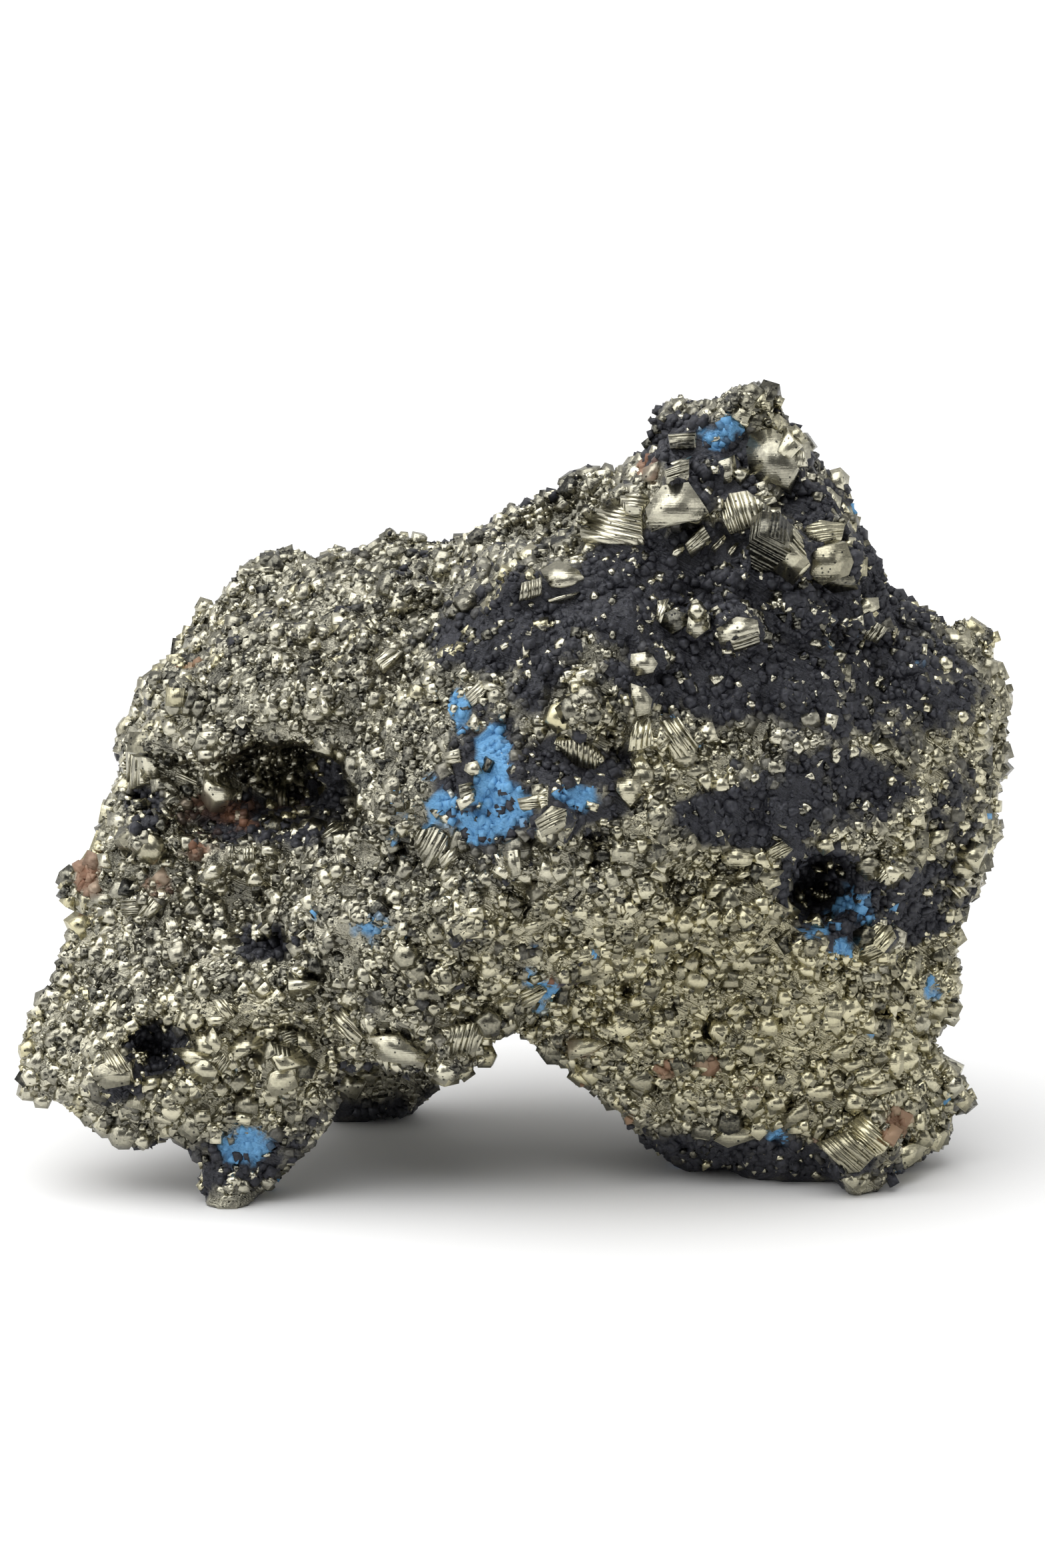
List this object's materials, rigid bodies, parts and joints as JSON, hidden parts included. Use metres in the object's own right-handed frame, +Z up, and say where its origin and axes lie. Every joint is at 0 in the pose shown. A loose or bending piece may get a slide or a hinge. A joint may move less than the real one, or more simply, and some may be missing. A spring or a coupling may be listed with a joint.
{
  "type": "rough pyrite crystal cluster",
  "caption": "Rough, untumbled lump of pyrite: intergrown cubes and pyritohedra over a pitted, ledged mass that stands on low feet round a vaulted hollow.",
  "frame": {"origin": "on the resting plane, under the middle of the lump's box", "axes": "+Z up, -Y the front as the picture sees it, +X to the right along the longest side"},
  "size_m": [0.0724, 0.0442, 0.0574],
  "materials": {
    "pyrite": "bright brassy-silver metallic crystal faces with sooty black and powdery blue tarnish between them"
  },
  "bodies": {
    "root": {"pyrite_cluster": "pyrite"}
  },
  "joints": []
}
